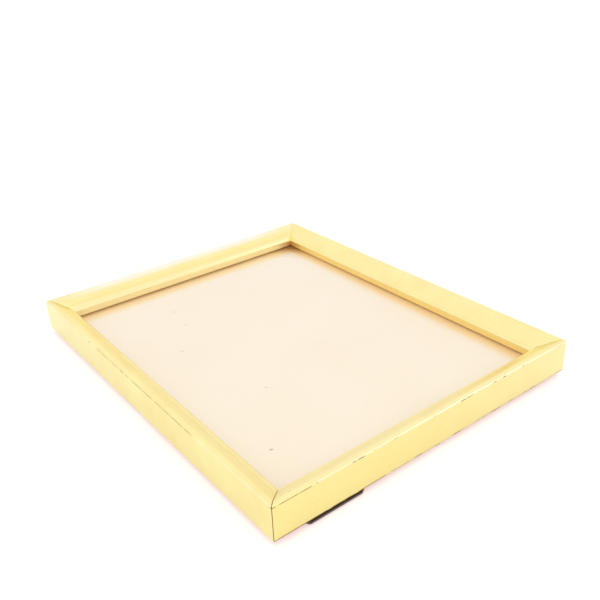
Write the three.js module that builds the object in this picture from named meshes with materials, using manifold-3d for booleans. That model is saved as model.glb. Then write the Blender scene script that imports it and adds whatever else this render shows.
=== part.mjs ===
// Picture frame with a moulded gilt rim, glazed, with a two-way easel back.
// It lies face up: +Z out of the picture, +Y towards its top rail, +X to the right. Millimetres.
// The origin is on the table, below the middle of the frame.
import * as THREE from 'three';
import { mergeVertices } from 'three/addons/utils/BufferGeometryUtils.js';
import Module from 'manifold-3d';

// Picture: an 8 by 10 inch sheet, held by a quarter inch of lip.
const PICTURE_W = 203.2;
const PICTURE_H = 254;
const LIP = 6.35;

// Moulding, seen in section: distance in from the outer wall, and height above the back.
// Its face slopes in by FACE_SLOPE degrees, and ARRIS_TURN degrees round its ridge tightens to the arris.
const RAIL_W = 14.6;
const RAIL_H = 21.8;
const FACE_SLOPE = 29.5;
const RIDGE_R = 2.34;
const ARRIS_R = 0.4;
const ARRIS_TURN = 140;
const BEAD_W = 3.7;
const BEAD_CROWN = 0.32;
const BEAD_DROP = 2.8;
const NOSE_W = 0.96;
const NOSE_R = 1.6;
const QUIRK_W = 1.3;
const QUIRK_DEPTH = 0.22;
const BACK_EASE = 0.6;
const MITRE_GAP = 0.3;

// Layers in the rebate, from the front.
const GLASS_T = 2.0;
const CARD_T = 0.5;
const FILLER_T = 2.7;
const BOARD_T = 3.2;
const REBATE_PLAY = 0.8;

// Clearances: faces that rest on each other, and shanks in their holes.
const SEAT = 0.1;
const HOLE_PLAY = 0.1;

// V-shaped nail across the back of each mitre.
const NAIL_W = 6.4;
const NAIL_RISE = 1.2;
const NAIL_T = 0.6;
const NAIL_H = 7.0;
const NAIL_SUNK = 0.2;

// Easel leg: its hinge line above the bottom edge, and its foot from the left edge.
const HINGE_RISE = 150;
const LEG_T = 2.0;
const HEEL_W = 6;
const FOOT_W = 37.8;
const FOOT_INSET = 19.2;
const FOOT_CHAMFER = 3.0;
const LEG_OPEN_ANGLE = 30;
const STOP_MARGIN = 2;

// Easel hinge.
const LEAF_T = 0.6;
const PIN_R = 0.6;
const PIN_PLAY = 0.1;
const PIN_HEAD_R = 1.0;
const PIN_HEAD_T = 0.5;
const MIDDLE_KNUCKLE = 10;
const OUTER_KNUCKLE = 5.7;
const KNUCKLE_GAP = 0.3;
const PLATE_REACH = 16;
const LEAF_REACH = 14;
const LEAF_W = 20;
const SWING_GAP = 0.4;

// Hinge rivets.
const RIVET_R = 1.3;
const RIVET_HEAD_R = 2.6;
const RIVET_HEAD_T = 0.45;
const RIVET_HEAD_EASE = 0.3;
const RIVET_EDGE = 3.8;
const CLINCH_R = 2.1;
const CLINCH_T = 0.4;

// Turn buttons and their screws.
const BUTTON_T = 0.8;
const BUTTON_REACH = 21;
const BUTTON_PIVOT_R = 3.6;
const BUTTON_NOSE_R = 3.0;
const BUTTON_PLAY = 0.3;
const SCREW_R = 1.2;
const SCREW_L = 11;
const SCREW_POINT = 2.5;
const SCREW_HEAD_R = 2.4;
const SCREW_HEAD_H = 1.2;
const SCREW_HEAD_EASE = 0.6;

// Facets around a full turn, and the distance under which two corners are one.
const ROUND = 24;
const MERGE = 1e-4;

// Sizes that follow.
const OUTER_W = PICTURE_W - 2 * LIP + 2 * RAIL_W;
const OUTER_H = PICTURE_H - 2 * LIP + 2 * RAIL_W;
const WALL = RAIL_W - LIP - REBATE_PLAY;
const REBATE_DEPTH = BOARD_T + FILLER_T + CARD_T + GLASS_T + 4 * SEAT;
const KNUCKLE_R = PIN_R + PIN_PLAY + LEAF_T;
const BARREL_L = MIDDLE_KNUCKLE + 2 * (KNUCKLE_GAP + OUTER_KNUCKLE);
const PIN_L = BARREL_L + 2 * (SEAT + PIN_HEAD_T);
const HINGE_BAY = PIN_L / 2 + SWING_GAP;
const LEG_HALF_W = HINGE_BAY + HEEL_W;
const AXIS_Z = -SEAT - KNUCKLE_R;
const LEG_FRONT_Z = -2 * SEAT - LEAF_T;
const LEG_BACK_Z = LEG_FRONT_Z - LEG_T;
const LEG_STACK = SEAT + RIVET_HEAD_T - LEG_BACK_Z;
const BUTTON_STACK = 2 * SEAT + BUTTON_T + SCREW_HEAD_H;
const BACK_Z = Math.max(LEG_STACK, BUTTON_STACK);

const gilt = { color: 0xf0d68c, metalness: 0.9, roughness: 0.32 };
const steel = { color: 0xb9bbbd, metalness: 1, roughness: 0.35 };
const blackBoard = { color: 0x2b2420, metalness: 0, roughness: 0.8 };
const clearGlass = { color: 0xf4f8f5, metalness: 0, roughness: 0.03, transparent: true, opacity: 0.3 };
const creamCard = { color: 0xf8ead4, metalness: 0, roughness: 0.9 };
const kraftCard = { color: 0xb08a5e, metalness: 0, roughness: 0.95 };

const wasm = await Module();
wasm.setup();

/** Makes a solid of a closed geometry, without the empty triangles that lie on a turning axis. */
function solidOf(geometry) {
  const bare = geometry.clone();
  bare.deleteAttribute('normal');
  bare.deleteAttribute('uv');
  const merged = mergeVertices(bare, MERGE);
  const corners = merged.index.array;
  const kept = [];
  for (let i = 0; i < corners.length; i += 3) {
    const [a, b, c] = corners.slice(i, i + 3);
    if (a !== b && b !== c && c !== a) kept.push(a, b, c);
  }
  const vertProperties = merged.attributes.position.array;
  const mesh = new wasm.Mesh({ numProp: 3, vertProperties, triVerts: new Uint32Array(kept) });
  return new wasm.Manifold(mesh);
}

/** Gives a solid back as a geometry with flat faces. */
function geometryOf(solid) {
  const mesh = solid.getMesh();
  const geometry = new THREE.BufferGeometry();
  geometry.setAttribute('position', new THREE.BufferAttribute(mesh.vertProperties, 3));
  geometry.setIndex(new THREE.BufferAttribute(mesh.triVerts, 1));
  const faceted = geometry.toNonIndexed();
  faceted.computeVertexNormals();
  return faceted;
}

/** Joins the first list of geometries and cuts the second list out of them. */
function carve(bodies, cutters) {
  const joined = bodies.map(solidOf).reduce((whole, body) => whole.add(body));
  return geometryOf(cutters.map(solidOf).reduce((whole, cutter) => whole.subtract(cutter), joined));
}

/** Puts a named piece into a group. */
function place(group, name, geometry, material, position = [0, 0, 0]) {
  const mesh = new THREE.Mesh(geometry, new THREE.MeshStandardMaterial(material));
  mesh.name = name;
  mesh.position.set(...position);
  group.add(mesh);
  return mesh;
}

/** A closed outline, extruded up from a height. */
function slab(shape, low, thickness) {
  const options = { depth: thickness, bevelEnabled: false, curveSegments: ROUND / 4 };
  return new THREE.ExtrudeGeometry(shape, options).translate(0, 0, low);
}

/** A flat sheet centred on the frame. */
function sheet(width, height, low, thickness) {
  return new THREE.BoxGeometry(width, height, thickness).translate(0, 0, low + thickness / 2);
}

/** A round solid about Z from its half outline, which starts and ends on the axis. */
function turned(outline) {
  const points = outline.map(([radius, height]) => new THREE.Vector2(radius, height));
  return new THREE.LatheGeometry(points, ROUND).rotateX(Math.PI / 2);
}

/** A plain rod along Z. */
function rod(radius, low, high) {
  return turned([[0, low], [radius, low], [radius, high], [0, high]]);
}

/** A plain rod along X, centred. */
function crossRod(radius, length) {
  return rod(radius, -length / 2, length / 2).rotateY(Math.PI / 2);
}

/** Draws an arc from the outline's last point that swells to its right by a given height. */
function swellTo(shape, to, height) {
  const from = shape.currentPoint.clone();
  const middle = from.clone().add(to).multiplyScalar(0.5);
  const half = to.clone().sub(from).multiplyScalar(0.5);
  const radius = (half.lengthSq() + height ** 2) / (2 * height);
  const centre = middle.add(new THREE.Vector2(-half.y, half.x).setLength(radius - height));
  const angle = (point) => Math.atan2(point.y - centre.y, point.x - centre.x);
  shape.absarc(centre.x, centre.y, radius, angle(from), angle(to), false);
}

/** Section of the moulding: x in from the outer wall, y up from the back. */
function mouldingSection() {
  const slope = THREE.MathUtils.degToRad(FACE_SLOPE);
  const turn = THREE.MathUtils.degToRad(ARRIS_TURN);
  const facing = (angle) => new THREE.Vector2(Math.cos(angle), Math.sin(angle));
  const ridge = new THREE.Vector2(ARRIS_R + (ARRIS_R - RIDGE_R) * Math.cos(turn), RAIL_H - RIDGE_R);
  const arris = facing(turn).multiplyScalar(RIDGE_R - ARRIS_R).add(ridge);
  const faceTop = facing(Math.PI / 2 - slope).multiplyScalar(RIDGE_R).add(ridge);
  const faceHeight = (x) => faceTop.y - (x - faceTop.x) * Math.tan(slope);
  const quirkIn = RAIL_W - BEAD_W;
  const quirkOut = quirkIn - QUIRK_W;
  const quirkMiddle = quirkIn - QUIRK_W / 2;
  const beadTop = new THREE.Vector2(quirkIn, faceHeight(quirkIn));
  const noseTurn = Math.acos(1 - NOSE_W / NOSE_R);
  const noseHeight = beadTop.y - BEAD_DROP - NOSE_R * Math.sin(noseTurn);
  const section = new THREE.Shape();
  section.moveTo(BACK_EASE, 0);
  section.lineTo(WALL, 0);
  section.lineTo(WALL, REBATE_DEPTH);
  section.lineTo(RAIL_W, REBATE_DEPTH);
  section.absarc(RAIL_W - NOSE_R, noseHeight, NOSE_R, 0, noseTurn, false);
  swellTo(section, beadTop, BEAD_CROWN);
  // A curve sinks half as far as the point that draws it.
  section.quadraticCurveTo(
    quirkMiddle,
    faceHeight(quirkMiddle) - 2 * QUIRK_DEPTH,
    quirkOut,
    faceHeight(quirkOut),
  );
  section.lineTo(faceTop.x, faceTop.y);
  section.absarc(ridge.x, ridge.y, RIDGE_R, Math.PI / 2 - slope, turn, false);
  section.absarc(arris.x, arris.y, ARRIS_R, turn, Math.PI, false);
  section.lineTo(0, BACK_EASE);
  section.closePath();
  return section;
}

/** One length of moulding along X, its outer wall at y = 0, each end drawn back along its mitre. */
function mitredLength(length) {
  const geometry = slab(mouldingSection(), 0, 1);
  const corner = length / 2 - MITRE_GAP / Math.SQRT2;
  const position = geometry.attributes.position;
  for (let i = 0; i < position.count; i += 1) {
    const inward = position.getX(i);
    const end = position.getZ(i) > 0.5 ? 1 : -1;
    position.setXYZ(i, end * (corner - inward), inward, position.getY(i));
  }
  return geometry;
}

/** Outline of the mitre nail, its point at the origin and its wings towards +Y, grown by a clearance. */
function nailOutline(grow) {
  const half = NAIL_W / 2 + grow;
  const rise = (NAIL_RISE / NAIL_W) * 2 * half;
  const low = -grow * Math.hypot(1, rise / half);
  const high = NAIL_T - low;
  const outline = new THREE.Shape();
  outline.moveTo(-half, low + rise);
  outline.lineTo(0, low);
  outline.lineTo(half, low + rise);
  outline.lineTo(half, high + rise);
  outline.lineTo(0, high);
  outline.lineTo(-half, high + rise);
  outline.closePath();
  return outline;
}

/** Slot for a mitre nail at one end of a rail, open at the rail's back. */
function nailSlot(length, end) {
  const slot = slab(nailOutline(HOLE_PLAY), -BACK_EASE, BACK_EASE + NAIL_SUNK + NAIL_H + HOLE_PLAY);
  return slot.rotateZ((end * Math.PI) / 4).translate(end * (length / 2 - WALL / 2), WALL / 2, 0);
}

/** A rail with its nail slots and the pilot hole of its turn button's screw. */
function rail(length) {
  const pilotDepth = SCREW_L - BUTTON_T - 2 * SEAT + HOLE_PLAY;
  const pilot = rod(SCREW_R + HOLE_PLAY, -BACK_EASE, pilotDepth).translate(0, WALL / 2, 0);
  return carve([mitredLength(length)], [pilot, nailSlot(length, 1), nailSlot(length, -1)]);
}

/** Screw on its seat at z = 0: eased head below, shank and point above. */
function buttonScrew() {
  return turned([
    [0, -SCREW_HEAD_H],
    [SCREW_HEAD_R - SCREW_HEAD_EASE, -SCREW_HEAD_H],
    [SCREW_HEAD_R, SCREW_HEAD_EASE - SCREW_HEAD_H],
    [SCREW_HEAD_R, 0],
    [SCREW_R, 0],
    [SCREW_R, SCREW_L - SCREW_POINT],
    [0, SCREW_L],
  ]);
}

/** Turn button: a round eye about its screw and a tapered nose towards +Y. */
function turnButton() {
  const noseY = BUTTON_REACH - BUTTON_NOSE_R;
  const lean = Math.asin((BUTTON_PIVOT_R - BUTTON_NOSE_R) / noseY);
  const outline = new THREE.Shape();
  outline.absarc(0, 0, BUTTON_PIVOT_R, Math.PI - lean, lean, false);
  outline.absarc(0, noseY, BUTTON_NOSE_R, lean, Math.PI - lean, false);
  outline.closePath();
  outline.holes.push(new THREE.Path().absarc(0, 0, SCREW_R + BUTTON_PLAY, 0, 2 * Math.PI, true));
  return slab(outline, -SEAT - BUTTON_T, BUTTON_T);
}

/** Rivet through a stack of a given depth: a low head at the back, its clinched end flush at z = 0. */
function rivet(depth) {
  return turned([
    [0, -depth - RIVET_HEAD_T],
    [RIVET_HEAD_R - RIVET_HEAD_EASE, -depth - RIVET_HEAD_T],
    [RIVET_HEAD_R, RIVET_HEAD_EASE - RIVET_HEAD_T - depth],
    [RIVET_HEAD_R, -depth],
    [RIVET_R, -depth],
    [RIVET_R, -CLINCH_T],
    [CLINCH_R, 0],
    [0, 0],
  ]);
}

/** Hole that the rivet's shank and clinched end pass through. */
function rivetHole(depth, [x, y, z]) {
  const wide = RIVET_R + HOLE_PLAY;
  const mouth = CLINCH_R + 2 * HOLE_PLAY;
  const outline = [
    [0, -depth - SEAT],
    [wide, -depth - SEAT],
    [wide, -CLINCH_T - HOLE_PLAY],
    [mouth, 0],
    [mouth, SEAT],
    [0, SEAT],
  ];
  return turned(outline).translate(x, y, z);
}

/** Fixed half of the hinge: a plate on the board, with a knuckle at each end of the pin. */
function hingePlate(rivets) {
  const half = BARREL_L / 2;
  const bay = MIDDLE_KNUCKLE / 2 + KNUCKLE_GAP;
  const bayTop = KNUCKLE_R + SWING_GAP;
  const outline = new THREE.Shape();
  outline.moveTo(-half, 0);
  outline.lineTo(-bay, 0);
  outline.lineTo(-bay, bayTop);
  outline.lineTo(bay, bayTop);
  outline.lineTo(bay, 0);
  outline.lineTo(half, 0);
  outline.lineTo(half, PLATE_REACH);
  outline.lineTo(-half, PLATE_REACH);
  outline.closePath();
  const knuckleX = half - OUTER_KNUCKLE / 2;
  const knuckle = crossRod(KNUCKLE_R, OUTER_KNUCKLE).translate(0, 0, AXIS_Z);
  const knuckles = [-knuckleX, knuckleX].map((x) => knuckle.clone().translate(x, 0, 0));
  const eye = crossRod(PIN_R + PIN_PLAY, PIN_L).translate(0, 0, AXIS_Z);
  const plate = slab(outline, -SEAT - LEAF_T, LEAF_T);
  return carve([plate, ...knuckles], [eye, ...rivets]);
}

/** Moving half of the hinge: a leaf between the board and the leg, with the middle knuckle. */
function hingeLeaf(rivets) {
  const neck = MIDDLE_KNUCKLE / 2;
  const shoulder = -KNUCKLE_R - SWING_GAP;
  const half = LEAF_W / 2;
  const outline = new THREE.Shape();
  outline.moveTo(neck, 0);
  outline.lineTo(-neck, 0);
  outline.lineTo(-neck, shoulder);
  outline.lineTo(-half, shoulder);
  outline.lineTo(-half, -LEAF_REACH);
  outline.lineTo(half, -LEAF_REACH);
  outline.lineTo(half, shoulder);
  outline.lineTo(neck, shoulder);
  outline.closePath();
  const knuckle = crossRod(KNUCKLE_R, MIDDLE_KNUCKLE).translate(0, 0, AXIS_Z);
  const eye = crossRod(PIN_R + PIN_PLAY, PIN_L).translate(0, 0, AXIS_Z);
  const leaf = slab(outline, -SEAT - LEAF_T, LEAF_T);
  return carve([leaf, knuckle], [eye, ...rivets]);
}

/** Pin of the hinge, peened over at both ends. */
function hingePin() {
  const end = PIN_L / 2;
  const shoulder = end - PIN_HEAD_T;
  const outline = [
    [0, -end],
    [PIN_HEAD_R, -end],
    [PIN_HEAD_R, -shoulder],
    [PIN_R, -shoulder],
    [PIN_R, shoulder],
    [PIN_HEAD_R, shoulder],
    [PIN_HEAD_R, end],
    [0, end],
  ];
  return turned(outline).rotateY(Math.PI / 2);
}

/** Easel leg, raked from the hinge line at y = 0 to its foot. A heel each side of the hinge stops it. */
function easelLeg(rivets) {
  const stop = THREE.MathUtils.degToRad(LEG_OPEN_ANGLE + STOP_MARGIN);
  const heel = (-AXIS_Z - (LEG_FRONT_Z - AXIS_Z) * Math.cos(stop)) / Math.sin(stop);
  const bayFoot = -KNUCKLE_R - SWING_GAP;
  const footLeft = -OUTER_W / 2 + FOOT_INSET;
  const footRight = footLeft + FOOT_W;
  const alongLeft = new THREE.Vector2(-LEG_HALF_W - footLeft, HINGE_RISE).setLength(FOOT_CHAMFER);
  const alongRight = new THREE.Vector2(LEG_HALF_W - footRight, HINGE_RISE).setLength(FOOT_CHAMFER);
  const outline = new THREE.Shape();
  outline.moveTo(-LEG_HALF_W, heel);
  outline.lineTo(-LEG_HALF_W, 0);
  outline.lineTo(footLeft + alongLeft.x, alongLeft.y - HINGE_RISE);
  outline.lineTo(footLeft + FOOT_CHAMFER, -HINGE_RISE);
  outline.lineTo(footRight - FOOT_CHAMFER, -HINGE_RISE);
  outline.lineTo(footRight + alongRight.x, alongRight.y - HINGE_RISE);
  outline.lineTo(LEG_HALF_W, 0);
  outline.lineTo(LEG_HALF_W, heel);
  outline.lineTo(HINGE_BAY, heel);
  outline.lineTo(HINGE_BAY, bayFoot);
  outline.lineTo(-HINGE_BAY, bayFoot);
  outline.lineTo(-HINGE_BAY, heel);
  outline.closePath();
  return carve([slab(outline, LEG_BACK_Z, LEG_T)], rivets);
}

const frame = new THREE.Group();
const back = new THREE.Group();
back.position.z = BACK_Z;
frame.add(back);

// Rails, each with its turn button and screw, going round from the bottom.
const SIDES = [
  ['bottom', OUTER_W, OUTER_H],
  ['right', OUTER_H, OUTER_W],
  ['top', OUTER_W, OUTER_H],
  ['left', OUTER_H, OUTER_W],
];
SIDES.forEach(([side, length, across], quarter) => {
  const turn = new THREE.Group();
  turn.rotation.z = (quarter * Math.PI) / 2;
  back.add(turn);
  place(turn, `${side}_rail`, rail(length), gilt, [0, -across / 2, 0]);
  const pivotY = WALL / 2 - across / 2;
  place(turn, `turn_button_${side}`, turnButton(), steel, [0, pivotY, 0]);
  place(turn, `button_screw_${side}`, buttonScrew(), steel, [0, pivotY, -2 * SEAT - BUTTON_T]);
});

// A nail across each mitre, its point towards the corner.
const CORNERS = [
  ['bottom_left', -1, -1],
  ['bottom_right', 1, -1],
  ['top_right', 1, 1],
  ['top_left', -1, 1],
];
CORNERS.forEach(([corner, sideX, sideY]) => {
  const position = [(sideX * (OUTER_W - WALL)) / 2, (sideY * (OUTER_H - WALL)) / 2, 0];
  const nail = place(back, `corner_nail_${corner}`, slab(nailOutline(0), NAIL_SUNK, NAIL_H), steel, position);
  nail.rotation.z = Math.atan2(sideX, -sideY);
});

// Layers in the rebate, from the front to the back.
const hingeY = HINGE_RISE - OUTER_H / 2;
const plateRivetX = BARREL_L / 2 - RIVET_EDGE;
const plateRivetY = PLATE_REACH - RIVET_EDGE;
const leafRivetX = LEAF_W / 2 - RIVET_EDGE;
const leafRivetY = -LEAF_REACH + RIVET_EDGE;
const boardStack = BOARD_T + 2 * SEAT + LEAF_T;
const legStack = LEAF_T + 2 * SEAT + LEG_T;
const plateHoles = [-plateRivetX, plateRivetX].map((x) => rivetHole(boardStack, [x, plateRivetY, BOARD_T]));
const leafHoles = [-leafRivetX, leafRivetX].map((x) => rivetHole(legStack, [x, leafRivetY, -SEAT]));
const boardHoles = plateHoles.map((hole) => hole.clone().translate(0, hingeY, 0));

const glassZ = REBATE_DEPTH - SEAT - GLASS_T;
const cardZ = glassZ - SEAT - CARD_T;
const fillerZ = cardZ - SEAT - FILLER_T;
place(back, 'glass_pane', sheet(PICTURE_W, PICTURE_H, glassZ, GLASS_T), clearGlass);
place(back, 'insert_card', sheet(PICTURE_W, PICTURE_H, cardZ, CARD_T), creamCard);
place(back, 'filler_board', sheet(PICTURE_W, PICTURE_H, fillerZ, FILLER_T), kraftCard);
place(back, 'back_board', carve([sheet(PICTURE_W, PICTURE_H, 0, BOARD_T)], boardHoles), blackBoard);

// Easel: the hinge on the board and the leg folded against it.
const easel = new THREE.Group();
easel.position.y = hingeY;
back.add(easel);
place(easel, 'hinge_plate', hingePlate(plateHoles), steel);
place(easel, 'hinge_pin', hingePin(), steel, [0, 0, AXIS_Z]);
place(easel, 'hinge_leaf', hingeLeaf(leafHoles), steel);
place(easel, 'easel_leg', easelLeg(leafHoles), blackBoard);
[['left', -1], ['right', 1]].forEach(([side, sign]) => {
  place(easel, `plate_rivet_${side}`, rivet(boardStack), steel, [sign * plateRivetX, plateRivetY, BOARD_T]);
  place(easel, `leaf_rivet_${side}`, rivet(legStack), steel, [sign * leafRivetX, leafRivetY, -SEAT]);
});

export default frame;
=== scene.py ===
"""Gilt picture frame lying on its back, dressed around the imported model.

Four mitred lengths of gilded moulding hold glass and a blank card in front of a
hardboard back. Turn buttons keep the back in, and a folding easel leg props it up.
Sizes are in millimetres until they become meshes, which are in metres.
"""

import logging
import math
from collections.abc import Callable, Iterator, Sequence
from contextlib import contextmanager
from dataclasses import dataclass, field
from enum import Enum

import bmesh
import bpy
from mathutils import Matrix, Vector


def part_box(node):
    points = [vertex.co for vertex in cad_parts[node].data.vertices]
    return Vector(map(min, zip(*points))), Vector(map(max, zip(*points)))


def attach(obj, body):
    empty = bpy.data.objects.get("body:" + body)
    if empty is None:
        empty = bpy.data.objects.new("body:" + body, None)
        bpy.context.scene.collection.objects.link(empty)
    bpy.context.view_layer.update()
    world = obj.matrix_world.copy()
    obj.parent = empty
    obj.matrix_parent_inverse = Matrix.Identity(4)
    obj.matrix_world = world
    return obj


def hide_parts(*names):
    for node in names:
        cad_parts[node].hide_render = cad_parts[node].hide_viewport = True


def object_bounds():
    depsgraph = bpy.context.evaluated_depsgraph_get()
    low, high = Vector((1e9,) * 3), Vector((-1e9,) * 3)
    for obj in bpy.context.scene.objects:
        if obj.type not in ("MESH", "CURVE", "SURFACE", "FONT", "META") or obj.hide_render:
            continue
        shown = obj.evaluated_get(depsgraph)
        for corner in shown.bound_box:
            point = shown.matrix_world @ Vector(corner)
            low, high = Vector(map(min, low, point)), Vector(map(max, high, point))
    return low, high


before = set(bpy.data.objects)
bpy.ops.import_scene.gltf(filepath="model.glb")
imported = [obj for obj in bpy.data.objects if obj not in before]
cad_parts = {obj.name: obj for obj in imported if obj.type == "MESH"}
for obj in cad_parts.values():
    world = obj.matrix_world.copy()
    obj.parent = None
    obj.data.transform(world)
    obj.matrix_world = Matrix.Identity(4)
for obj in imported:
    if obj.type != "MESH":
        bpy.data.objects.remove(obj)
CAD_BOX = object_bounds()

LOG = logging.getLogger("picture_frame")

# A millimetre, the distance under which two corners are one, and how far a cut may stray, in metres.
MM = 0.001
WELD = 1e-6
STRAY = 5e-6
# Facets around a full turn, a quarter turn, and how squarely a face must look along an axis to face it.
ROUND = 48
QUARTER = math.pi / 2
FACING = 0.9
# The frame's outer size and the height of its back, as packed.
FRAME_W, FRAME_L = (round(2 * reach / MM, 2) for reach in CAD_BOX[1][:2])
BACK_Z = round(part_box("back_board")[0].z / MM, 2)
# The inputs of a ramp, in the order in which its values are listed.
RAMP = ("Value", "From Min", "From Max", "To Min", "To Max")

Flat = tuple[float, float]
Socket = bpy.types.NodeSocket
Piece = bpy.types.Object


class Side(Enum):
    """The frame's sides, each at its number of quarter turns from the bottom."""

    BOTTOM = 0
    RIGHT = 1
    TOP = 2
    LEFT = 3

    @property
    def word(self) -> str:
        """The side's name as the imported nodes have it."""
        return self.name.lower()


class Slot(Enum):
    """The record's material slots, named for the new pieces."""

    GILT = "gilt_wood"
    STEEL = "steel"
    KRAFT = "corrugated_card"
    BOARD = "black_hardboard"


class Pick(Enum):
    """What is selected in an opened mesh."""

    VERT = "verts"
    EDGE = "edges"
    FACE = "faces"


class Join(Enum):
    """How a tool shapes a piece."""

    CUT = "DIFFERENCE"
    WELD = "UNION"


# A rail's length, the frame's size across it, and the two sides that have such a rail.
RUNS = (
    (FRAME_W, FRAME_L, (Side.BOTTOM, Side.TOP)),
    (FRAME_L, FRAME_W, (Side.RIGHT, Side.LEFT)),
)

# The bench: what every piece is modelled with.


def at(x: float, y: float, z: float) -> Vector:
    """Gives a place in millimetres as a vector in metres."""
    return Vector((x, y, z)) * MM


def single_out(piece: Piece | None = None) -> None:
    """Leaves one piece selected and active, or nothing selected.

    Args:
        piece: The piece to single out, if any.
    """
    bpy.ops.object.select_all(action="DESELECT")
    if piece is not None:
        piece.select_set(True)
        bpy.context.view_layer.objects.active = piece


@contextmanager
def opened(piece: Piece, pick: Pick) -> Iterator[None]:
    """Opens a piece in edit mode with all of it selected, and closes it again.

    Args:
        piece: The piece to open.
        pick: The kind of part that is selected in it.

    Yields:
        Nothing, while the piece is open.
    """
    single_out(piece)
    bpy.ops.object.mode_set(mode="EDIT")
    bpy.ops.mesh.select_mode(type=pick.name)
    bpy.ops.mesh.select_all(action="SELECT")
    yield
    bpy.ops.object.mode_set(mode="OBJECT")


def choose(piece: Piece, pick: Pick, test: Callable[..., bool]) -> None:
    """Selects the parts of an opened mesh that pass a test, and no others.

    Args:
        piece: The opened piece.
        pick: The kind of part to go through.
        test: Says of one part whether it is selected.
    """
    bpy.ops.mesh.select_all(action="DESELECT")
    mesh = bmesh.from_edit_mesh(piece.data)
    for part in getattr(mesh, pick.value):
        if test(part):
            part.select_set(True)
    mesh.select_flush_mode()
    bmesh.update_edit_mesh(piece.data)


def settled(name: str) -> Piece:
    """Names the active piece and puts its place into its mesh.

    Args:
        name: The piece's name.

    Returns:
        The piece, at the origin.
    """
    piece = bpy.context.object
    piece.name = name
    piece.data.name = name
    bpy.ops.object.transform_apply(location=True, rotation=True, scale=True)
    return piece


def drag(step: Vector) -> None:
    """Extrudes what is selected in the opened mesh."""
    bpy.ops.mesh.extrude_region_move(TRANSFORM_OT_translate={"value": step})


def face_out() -> None:
    """Welds the opened mesh and turns its faces outwards."""
    bpy.ops.mesh.select_all(action="SELECT")
    bpy.ops.mesh.remove_doubles(threshold=WELD)
    bpy.ops.mesh.normals_make_consistent(inside=False)


def traced(name: str, outline: Sequence[Vector], filled: bool = False) -> Piece:
    """Draws an outline from a single corner, point after point.

    Args:
        name: The piece's name.
        outline: The corners in order.
        filled: Whether the outline is closed and filled with a face.

    Returns:
        The flat piece.
    """
    single_out()
    bpy.ops.mesh.primitive_plane_add(size=MM, location=outline[0])
    with opened(bpy.context.object, Pick.VERT):
        bpy.ops.mesh.merge(type="CENTER")
        for here, there in zip(outline, outline[1:]):
            drag(there - here)
        if filled:
            bpy.ops.mesh.select_all(action="SELECT")
            bpy.ops.mesh.edge_face_add()
    return settled(name)


def slab(name: str, outline: Sequence[Vector], step: Vector) -> Piece:
    """Draws a closed outline out into a solid.

    Args:
        name: The piece's name.
        outline: The corners in order.
        step: How far and which way it is drawn.

    Returns:
        The solid piece.
    """
    piece = traced(name, outline, filled=True)
    with opened(piece, Pick.FACE):
        drag(step)
        face_out()
    return piece


def spun(name: str, outline: Sequence[Vector], axis: Sequence[float]) -> Piece:
    """Turns a half outline, which starts and ends on the axis, into a round solid.

    Args:
        name: The piece's name.
        outline: The half outline.
        axis: The direction that it turns about.

    Returns:
        The round piece.
    """
    piece = traced(name, outline)
    with opened(piece, Pick.VERT):
        bpy.ops.mesh.spin(steps=ROUND, angle=2 * math.pi, center=outline[0], axis=axis)
        face_out()
    return piece


def round_bar(radius: float, length: float, middle: Vector, turn: Sequence[float] = (0, 0, 0)) -> Piece:
    """Models a round bar, upright unless it is turned.

    Args:
        radius: Its radius, in millimetres.
        length: Its length, in millimetres.
        middle: The place of its middle, in metres.
        turn: Its rotation about the three axes.

    Returns:
        The bar.
    """
    single_out()
    size = {"vertices": ROUND, "radius": radius * MM, "depth": length * MM}
    bpy.ops.mesh.primitive_cylinder_add(**size, location=middle, rotation=turn)
    return settled("round_bar")


def eased(piece: Piece, width: float, test: Callable[..., bool], segments: int = 2) -> None:
    """Rounds the edges of a piece that pass a test.

    Args:
        piece: The piece.
        width: The width of the rounding, in millimetres.
        test: Says of one edge whether it is rounded.
        segments: Facets across the rounding.
    """
    with opened(piece, Pick.EDGE):
        choose(piece, Pick.EDGE, test)
        bpy.ops.mesh.bevel(offset=width * MM, segments=segments, affect="EDGES")


def worked(piece: Piece, kind: str, **settings: object) -> None:
    """Works a piece with a modifier, and applies it.

    Args:
        piece: The piece.
        kind: The modifier's type.
        settings: The modifier's own properties.
    """
    single_out(piece)
    bpy.ops.object.modifier_add(type=kind)
    step = piece.modifiers[-1]
    for name, value in settings.items():
        setattr(step, name, value)
    bpy.ops.object.modifier_apply(modifier=step.name)


def combined(piece: Piece, tool: Piece, how: Join) -> None:
    """Cuts a tool out of a piece or welds it on, and uses the tool up."""
    worked(piece, "BOOLEAN", operation=how.value, solver="EXACT", object=tool)
    bpy.data.objects.remove(tool)


def cleaned(piece: Piece) -> None:
    """Takes slivers and stray faces out of a piece that was cut or welded.

    Args:
        piece: The piece, after its last cut.
    """
    with opened(piece, Pick.FACE):
        bpy.ops.mesh.quads_convert_to_tris(quad_method="BEAUTY", ngon_method="BEAUTY")
        bpy.ops.mesh.dissolve_degenerate(threshold=WELD)
        choose(piece, Pick.FACE, lambda face: any(len(edge.link_faces) == 1 for edge in face.edges))
        bpy.ops.mesh.delete(type="FACE")


def quarter_turned(piece: Piece, name: str, quarters: int) -> Piece:
    """Copies a piece with its own mesh, turned about the frame's middle.

    Args:
        piece: The piece to copy.
        name: The copy's name.
        quarters: Quarter turns, from the bottom to the right first.

    Returns:
        The copy.
    """
    single_out(piece)
    bpy.ops.object.duplicate()
    bpy.context.object.rotation_euler.z = quarters * QUARTER
    return settled(name)


def smoothed(piece: Piece, degrees: float = 32) -> None:
    """Shades a piece smooth, apart from edges sharper than an angle."""
    single_out(piece)
    bpy.ops.object.shade_smooth_by_angle(angle=math.radians(degrees))


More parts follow.
